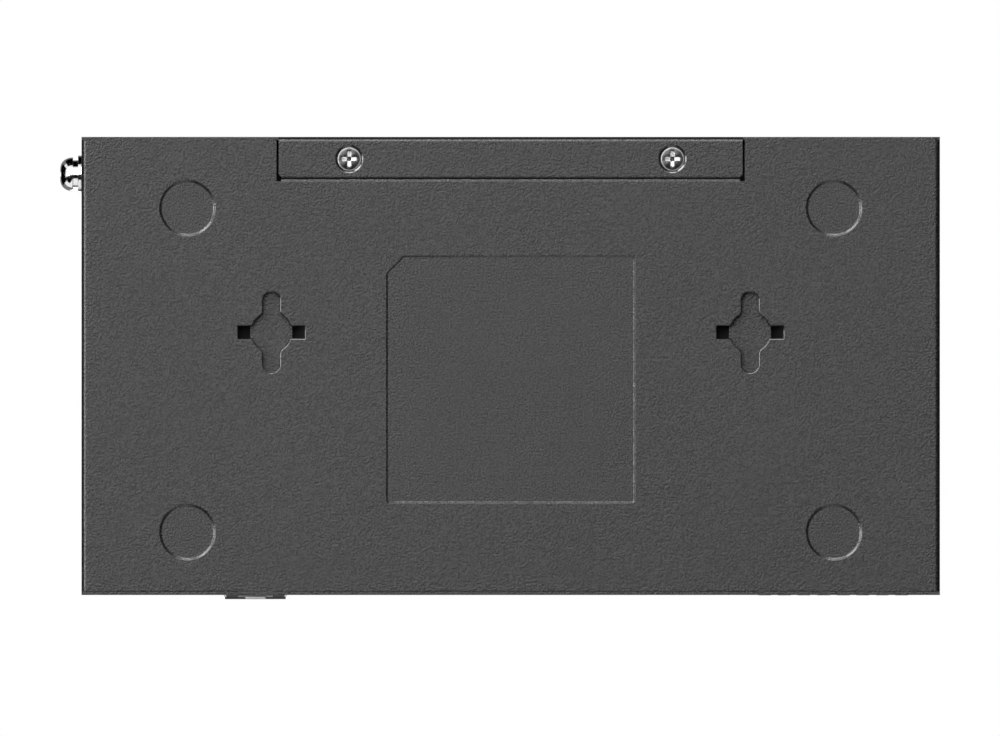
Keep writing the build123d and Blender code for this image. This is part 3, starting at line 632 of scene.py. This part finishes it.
def keyhole_outline(x, y):
    """Outline of a keyhole about its middle in millimetres, counter-clockwise from its side window."""
    blend_x = SLOT_RADIUS + SLOT_BLEND
    blend_y = math.sqrt((KEYHOLE_RADIUS + SLOT_BLEND) ** 2 - blend_x ** 2)
    meet = math.degrees(math.atan2(blend_y, blend_x))
    window = math.degrees(math.asin(WINDOW_HALF / KEYHOLE_RADIUS))
    quarter = [(WINDOW_REACH, WINDOW_HALF)]
    quarter += arc(0, 0, KEYHOLE_RADIUS, window, meet, 14)
    quarter += arc(blend_x, blend_y, SLOT_BLEND, 180 + meet, 180, 6)[1:]
    quarter += arc(0, SLOT_END, SLOT_RADIUS, 0, 90, 12)
    upper = quarter + [(-right, up) for right, up in reversed(quarter[:-1])]
    return [(x + right, y + up) for right, up in upper + [(-right, -up) for right, up in upper]]


def label_outline():
    """Outline of the label recess in millimetres, counter-clockwise from its front right corner."""
    middle_x = LABEL_HALF_WIDTH - LABEL_CORNER
    front = LABEL_FRONT + LABEL_CORNER
    rear = LABEL_REAR - LABEL_CORNER
    outline = arc(middle_x, front, LABEL_CORNER, -90, 0, 5)
    outline.append((LABEL_HALF_WIDTH, LABEL_REAR - LABEL_CHAMFER))
    outline.append((LABEL_HALF_WIDTH - LABEL_CHAMFER, LABEL_REAR))
    outline += arc(-middle_x, rear, LABEL_CORNER, 90, 180, 5)
    return outline + arc(-middle_x, front, LABEL_CORNER, 180, 270, 5)


def formed_rim(name, outlines, section, material):
    """The formed edge round openings, from their outlines and its inset and height points in millimetres."""
    form = bmesh.new()
    for outline in outlines:
        count = len(outline)
        rows = []
        for i, (x, y) in enumerate(outline):
            before = Vector(outline[i - 1])
            after = Vector(outline[(i + 1) % count])
            along = (after - before).normalized()
            inward = Vector((-along.y, along.x))
            rows.append([
                form.verts.new(millimetres(x + inward.x * inset, y + inward.y * inset, height))
                for inset, height in section
            ])
        for i in range(count):
            here = rows[i]
            there = rows[(i + 1) % count]
            for corners in zip(here, there, there[1:], here[1:]):
                form.faces.new(corners)
    bmesh.ops.recalc_face_normals(form, faces=form.faces)
    return smooth(as_mesh(form, name, material), fold=50)


def rolled_edge():
    """Section of an edge rolled inwards, from the flat beside the opening to the back of the sheet."""
    return [(-EDGE_OVERLAP, -EDGE_PROUD)] + arc(0, EDGE_ROLL, EDGE_ROLL, -90, 0, 6) + [(EDGE_ROLL, SHEET)]


def mounts_named(start):
    """Places in millimetres of the mounts whose names start so."""
    return [
        [value * 1000 for value in place] for name, place in MOUNTS.items() if name.startswith(start)
    ]


class ROUTER_OT_case(bpy.types.Operator):
    """Powder coat on the tray, the cover and the straps over the keyholes"""

    bl_idname = "router.case"
    bl_label = "Case"

    def execute(self, context):
        settings = context.scene.router_case
        dress(wall_coat(settings), "base_tray", "top_cover", "keyhole_guard_left", "keyhole_guard_right")
        rolled = once("powder_coat_on_rims", rim_coat, settings)
        coined = recess_coat(settings)
        keyholes = [keyhole_outline(x, y) for x, y, height in mounts_named("keyhole")]
        feet = [arc(x, y, FOOT_RADIUS, 0, 360, 72)[:-1] for x, y, height in mounts_named("foot_recess")]
        for name, outlines, section, coat in (
            ("keyhole_rims", keyholes, rolled_edge(), rolled),
            ("foot_recess_rims", feet, FOOT_STEP, coined),
            ("label_recess_rim", [label_outline()], LABEL_STEP, coined),
        ):
            new_piece(name, formed_rim(name, outlines, section, coat))
        return {"FINISHED"}


class ROUTER_OT_cover_screws(bpy.types.Operator):
    """Dark coated countersunk screws in the rear flange, with the mouths they sit in"""

    bl_idname = "router.cover_screws"
    bl_label = "Cover screws"

    def execute(self, context):
        metals = context.scene.router_metal
        low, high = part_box("cover_screws")
        side = high[0] - COVER_HEAD_RADIUS / 1000
        middle_y = (low[1] + high[1]) / 2
        heads = [Matrix.Translation((x, middle_y, low[2])) for x in (-side, side)]
        mouths = [Matrix.Translation((x, middle_y, 0)) for x in (-side, side)]
        coat = once("powder_coat_on_rims", rim_coat, context.scene.router_case)
        mouth = smooth(as_mesh(turned_form(SCREW_MOUTH, 96), "screw_mouth", coat))
        new_piece("screw_mouths", repeated(mouth, "screw_mouths", mouths))
        screw = punched_screw(
            "cover_screw", COVER_SCREW, span=3.45, arm=0.8, depth=1.2, pit_radius=0.62, pit_depth=2.4,
            edge=0.04, coat=coated_screw(metals), bright_metal_and_painted_highlight=once("punched_steel_and_painted_highlight", bare_steel_and_painted_highlight, metals))
        pair = repeated(screw, "cover_screw_pair", heads)
        new_piece("cover_screw_pair", pair, ("cover_screws",))
        return {"FINISHED"}


class ROUTER_OT_earth_terminal(bpy.types.Operator):
    """Nickel plated earth screw with its washers"""

    bl_idname = "router.earth_terminal"
    bl_label = "Earth terminal"

    def execute(self, context):
        nickel = once("bright_nickel", bright_nickel, context.scene.router_metal)
        dress(nickel, "ground_spring_washer", "ground_flat_washer")
        dome = [
            (EARTH_HEAD_RADIUS - EARTH_DOME_WIDTH * (1 - out), EARTH_DOME_HEIGHT * (1 - up))
            for out, up in arc(0, 0, 1, 90, 0, 12)
        ]
        screw = punched_screw(
            "earth_screw", [(0, 0), *dome, *EARTH_SHANK], span=4.6, arm=1.1, depth=2.0, pit_radius=0.6,
            pit_depth=2.8, edge=0.08, coat=nickel, bright_metal_and_painted_highlight=nickel)
        head = Vector(MOUNTS["earth_terminal"])
        head.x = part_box("ground_screw")[1][0]
        screw.transform(Matrix.Translation(head) @ Matrix.Rotation(-math.pi / 2, 4, "Y"))
        new_piece("earth_screw", screw, ("ground_screw",))
        return {"FINISHED"}


class ROUTER_OT_board(bpy.types.Operator):
    """Main board with its standoffs and screws, and the earth terminal's nut, in zinc plate"""

    bl_idname = "router.board"
    bl_label = "Board and fixings"

    def execute(self, context):
        zinc = once("zinc_plate", zinc_plate, context.scene.router_metal)
        dress(solder_resist(context.scene.router_plastic), "main_board")
        dress(zinc, "board_standoffs", "board_screws", "ground_nut")
        return {"FINISHED"}


def lip_bead(steel):
    """The bead along the lower lip of the cage: an oval rod with round ends."""
    inner = BEAD_HALF_LENGTH - BEAD_RADIUS
    ends = [(radius, inner + along) for radius, along in arc(0, 0, BEAD_RADIUS, 90, 0, 6)]
    profile = [(radius, -along) for radius, along in ends] + ends[::-1]
    bead = smooth(as_mesh(turned_form(profile, 32), "cage_lip_bead", steel))
    low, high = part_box("sfp_finger_band")
    corner = Vector(((low[0] + high[0]) / 2, low[1], low[2]))
    place = Matrix.Translation(corner + Vector(millimetres(*BEAD_FROM_BAND)))
    bead.transform(place @ Matrix.Diagonal((*BEAD_STRETCH, 1.0)) @ Matrix.Rotation(math.pi / 2, 4, "Y"))
    return bead


class ROUTER_OT_sockets(bpy.types.Operator):
    """Shields, mouldings and gold contacts of the network sockets, and the transceiver cage's mouth"""

    bl_idname = "router.sockets"
    bl_label = "Network sockets"

    def execute(self, context):
        metals = context.scene.router_metal
        black = moulding("black_moulding", context.scene.router_plastic.housing, 0.45)
        dress(tinned_sheet(metals), "lan_shield", "wan_shield", "sfp_cage")
        dress(gold_flash(metals), "lan_contacts", "wan_contacts", "power_jack_spring")
        dress(
            black, "lan_housing", "wan_housing", "sfp_connector", "power_jack", "reset_switch",
            "reset_button")
        dress(spring_strip(metals), "sfp_finger_band")
        dress(once("bright_nickel", bright_nickel, metals), "power_jack_pin")
        steel = once("punched_steel_and_painted_highlight", bare_steel_and_painted_highlight, metals)
        new_piece("cage_lip_bead", lip_bead(steel))
        return {"FINISHED"}


class ROUTER_OT_lights(bpy.types.Operator):
    """Light pipe and the lights behind it"""

    bl_idname = "router.lights"
    bl_label = "Status lights"

    def execute(self, context):
        plastics = context.scene.router_plastic
        dress(milky_pipe(plastics), "light_pipe")
        dress(moulding("lens_resin", plastics.lens, 0.25, grain=0.0005, depth=0.00001), "status_leds")
        return {"FINISHED"}


class ROUTER_OT_electronics(bpy.types.Operator):
    """Packages, heat sink, coils and cans on the board"""

    bl_idname = "router.electronics"
    bl_label = "Electronics"

    def execute(self, context):
        metals = context.scene.router_metal
        plastics = context.scene.router_plastic
        dress(
            moulding("epoxy_package", plastics.package, 0.6, grain=0.00015, depth=0.00002),
            "line_transformers", "router_chip", "switch_chip", "memory_chips", "flash_chip")
        dress(black_anodised(metals), "heat_sink")
        dress(moulding("heat_pad", plastics.pad, 0.7, grain=0.0002, depth=0.00002), "heat_sink_pad")
        dress(
            moulding("pressed_ferrite", plastics.ferrite, 0.65, grain=0.0004, depth=0.00004),
            "power_inductors")
        dress(once("zinc_plate", zinc_plate, metals), "capacitors", "crystal")
        return {"FINISHED"}


def rectangle(name, centre, normal, width, height, material):
    """A flat rectangle of the stage that faces along the normal."""
    form = bmesh.new()
    turn = Vector(normal).to_track_quat("Z", "Y").to_matrix().to_4x4()
    place = Matrix.Translation(Vector(centre)) @ turn
    form.faces.new([
        form.verts.new(place @ Vector((x * width / 2, y * height / 2, 0)))
        for x, y in ((-1, -1), (1, -1), (1, 1), (-1, 1))
    ])
    piece = bpy.data.objects.new(name, as_mesh(form, name, material))
    bpy.context.scene.collection.objects.link(piece)
    return piece


def hide_from(piece, *rays):
    """Makes the piece invisible to those kinds of ray."""
    for ray in rays:
        setattr(piece, "visible_" + ray, False)


def lamp(name, distance, turn, tilt, width, light, below=False, height=0.0):
    """A rectangular lamp that faces the router, turned from +X and tilted from the upright, in degrees.

    It lights a surface that faces it by that much: 1 shows a colour as it is written."""
    turn = math.radians(turn)
    tilt = math.radians(tilt)
    direction = Vector((math.sin(tilt) * math.cos(turn), math.sin(tilt) * math.sin(turn), math.cos(tilt)))
    if below:
        direction.z = -direction.z
    data = bpy.data.lights.new(name, "AREA")
    data.shape = "RECTANGLE"
    data.size = width
    data.size_y = height or width
    data.energy = light * math.pi ** 2 * distance ** 2
    piece = bpy.data.objects.new(name, data)
    piece.location = direction * distance
    piece.rotation_euler = direction.to_track_quat("Z", "Y").to_euler()
    hide_from(piece, "camera")
    bpy.context.scene.collection.objects.link(piece)
    return piece


def floor_paint(colour):
    """Pale floor that is seen from above only."""
    material = bpy.data.materials.new("floor_paint")
    material.use_nodes = True
    nodes = material.node_tree.nodes
    links = material.node_tree.links
    surface = nodes["Principled BSDF"]
    surface.inputs["Base Color"].default_value = (*colour, 1.0)
    surface.inputs["Roughness"].default_value = 0.9
    clear = nodes.new("ShaderNodeBsdfTransparent")
    side = nodes.new("ShaderNodeNewGeometry")
    mix = nodes.new("ShaderNodeMixShader")
    links.new(side.outputs["Backfacing"], mix.inputs["Fac"])
    links.new(surface.outputs["BSDF"], mix.inputs[1])
    links.new(clear.outputs["BSDF"], mix.inputs[2])
    links.new(mix.outputs["Shader"], nodes["Material Output"].inputs["Surface"])
    return material


def stage_cloth(name, glow):
    """Black cloth that is seen in reflections only, and glows evenly if it stands for a dim wall."""
    material = bpy.data.materials.new(name)
    material.use_nodes = True
    shader = material.node_tree.nodes["Principled BSDF"]
    shader.inputs["Base Color"].default_value = (0.0, 0.0, 0.0, 1.0)
    shader.inputs["Roughness"].default_value = 1.0
    shader.inputs["Specular IOR Level"].default_value = 0.0
    shader.inputs["Emission Color"].default_value = (1.0, 1.0, 1.0, 1.0)
    shader.inputs["Emission Strength"].default_value = glow
    return material


def place_camera(settings):
    """A camera without perspective that looks straight up at the underside."""
    view = bpy.data.cameras.new("camera")
    view.type = "ORTHO"
    view.ortho_scale = settings.view_width
    camera = bpy.data.objects.new("camera", view)
    camera.location = settings.camera
    camera.rotation_euler = (0.0, math.pi, 0.0)
    bpy.context.scene.collection.objects.link(camera)
    bpy.context.scene.camera = camera
    bpy.context.scene.view_settings.view_transform = "Standard"


def lay_floor(settings):
    """The floor just under the case, for views from above."""
    side = 40.0
    place = (0, 0, -settings.floor_gap)
    floor = rectangle("floor", place, (0, 0, 1), side, side, floor_paint(settings.floor))
    hide_from(floor, "diffuse", "glossy", "shadow", "transmission")


def hang_flags():
    """Cloths round the router that only its reflections see, which draw the dark lines along its bends."""
    dark = stage_cloth("dark_cloth", 0.0)
    dim = stage_cloth("dim_cloth", 0.2)
    for name, centre, normal, width, height, cloth in (
        ("flag_above", (0, 0, 1.6), (0, 0, -1), 14.0, 14.0, dim),
        ("flag_right", (-0.62, 0, 0.1), (1, 0, 0), 3.0, 3.0, dark),
        ("flag_left", (1.5, 0, 0.45), (-1, 0, 0), 2.3, 2.3, dark),
        ("flag_rear", (0, 1.5, 0.45), (0, -1, 0), 2.3, 2.3, dark),
        ("flag_camera", (0.785, -1.44, -4.2), (0, 0, 1), 4.19, 2.66, dark),
        ("flag_corner", (1.2, -1.2, -1.53), (-1.2, 1.2, 1.53), 2.0, 1.6, dark),
    ):
        flag = rectangle(name, centre, normal, width, height, cloth)
        hide_from(flag, "camera", "diffuse", "shadow", "transmission")


def light_underside(settings):
    """The lamps of the photograph's view: a key, one lamp along each bend and one for the rims."""
    far = 4.0
    lamp("key_below", far, turn=50, tilt=15, width=1.6, light=settings.key, below=True)
    lamp("strip_left_below", far, turn=0, tilt=36, width=1.2, light=1.3 * settings.strips, below=True)
    lamp("strip_rear_below", far, turn=90, tilt=36, width=1.2, light=settings.strips, below=True)
    lamp("rim_below", far, turn=47, tilt=48, width=1.8, height=1.0, light=settings.rims, below=True)


def light_top():
    """The lamps of the views from above: a key, two that only fill, and a broad one at the side."""
    near = 1.6
    broad = 3.8
    lamp("key_above", near, turn=234, tilt=40, width=1.6, light=1.0)
    fill = lamp("fill_above", near, turn=20, tilt=40, width=broad, light=0.42)
    back = lamp("back_above", near, turn=84, tilt=40, width=broad, light=0.38)
    hide_from(fill, "glossy")
    hide_from(back, "glossy")
    lamp("side_above", near, turn=184, tilt=48, width=broad, light=0.5)


def room_light(strength):
    """A white room for the camera, reflections and clear pieces, and an even light for all else."""
    world = bpy.data.worlds.new("room")
    bpy.context.scene.world = world
    world.use_nodes = True
    nodes = world.node_tree.nodes
    links = world.node_tree.links
    background = nodes["Background"]
    background.inputs["Color"].default_value = (1.0, 1.0, 1.0, 1.0)
    path = nodes.new("ShaderNodeLightPath")
    seen = path.outputs["Is Camera Ray"]
    for ray in ("Is Glossy Ray", "Is Transmission Ray"):
        either = nodes.new("ShaderNodeMath")
        either.operation = "MAXIMUM"
        links.new(seen, either.inputs[0])
        links.new(path.outputs[ray], either.inputs[1])
        seen = either.outputs["Value"]
    level = nodes.new("ShaderNodeMapRange")
    level.inputs["To Min"].default_value = strength
    level.inputs["To Max"].default_value = 1.0
    links.new(seen, level.inputs["Value"])
    links.new(level.outputs["Result"], background.inputs["Strength"])


class ROUTER_OT_stage(bpy.types.Operator):
    """Camera, floor, flags, lamps and room light"""

    bl_idname = "router.stage"
    bl_label = "Stage"

    def execute(self, context):
        settings = context.scene.router_stage
        place_camera(settings)
        lay_floor(settings)
        hang_flags()
        light_underside(settings)
        light_top()
        room_light(settings.room)
        return {"FINISHED"}


PIECES = (
    ROUTER_OT_stage, ROUTER_OT_case, ROUTER_OT_cover_screws, ROUTER_OT_earth_terminal,
    ROUTER_OT_board, ROUTER_OT_sockets, ROUTER_OT_lights, ROUTER_OT_electronics,
)
GROUPS = {
    "router_case": RouterCaseSettings,
    "router_metal": RouterMetalSettings,
    "router_plastic": RouterPlasticSettings,
    "router_stage": RouterStageSettings,
}


class ROUTER_PT_panel(bpy.types.Panel):
    """Lists the settings and the pieces of the router"""

    bl_idname = "ROUTER_PT_panel"
    bl_label = "Desktop Ethernet Router"
    bl_space_type = "VIEW_3D"
    bl_region_type = "UI"
    bl_category = "Router"

    def draw(self, context):
        for group_name in GROUPS:
            group = getattr(context.scene, group_name)
            column = self.layout.column(align=True)
            for name in group.__annotations__:
                column.prop(group, name)
        column = self.layout.column(align=True)
        for piece in PIECES:
            column.operator(piece.bl_idname)


def register():
    for group in GROUPS.values():
        bpy.utils.register_class(group)
    for piece in PIECES:
        bpy.utils.register_class(piece)
    bpy.utils.register_class(ROUTER_PT_panel)
    for name, group in GROUPS.items():
        setattr(bpy.types.Scene, name, PointerProperty(type=group))


def unregister():
    for name in GROUPS:
        delattr(bpy.types.Scene, name)
    bpy.utils.unregister_class(ROUTER_PT_panel)
    for piece in reversed(PIECES):
        bpy.utils.unregister_class(piece)
    for group in reversed(list(GROUPS.values())):
        bpy.utils.unregister_class(group)


def main():
    register()
    bpy.ops.router.stage()
    bpy.ops.router.case()
    bpy.ops.router.cover_screws()
    bpy.ops.router.earth_terminal()
    bpy.ops.router.board()
    bpy.ops.router.sockets()
    bpy.ops.router.lights()
    bpy.ops.router.electronics()


if __name__ == "__main__":
    main()
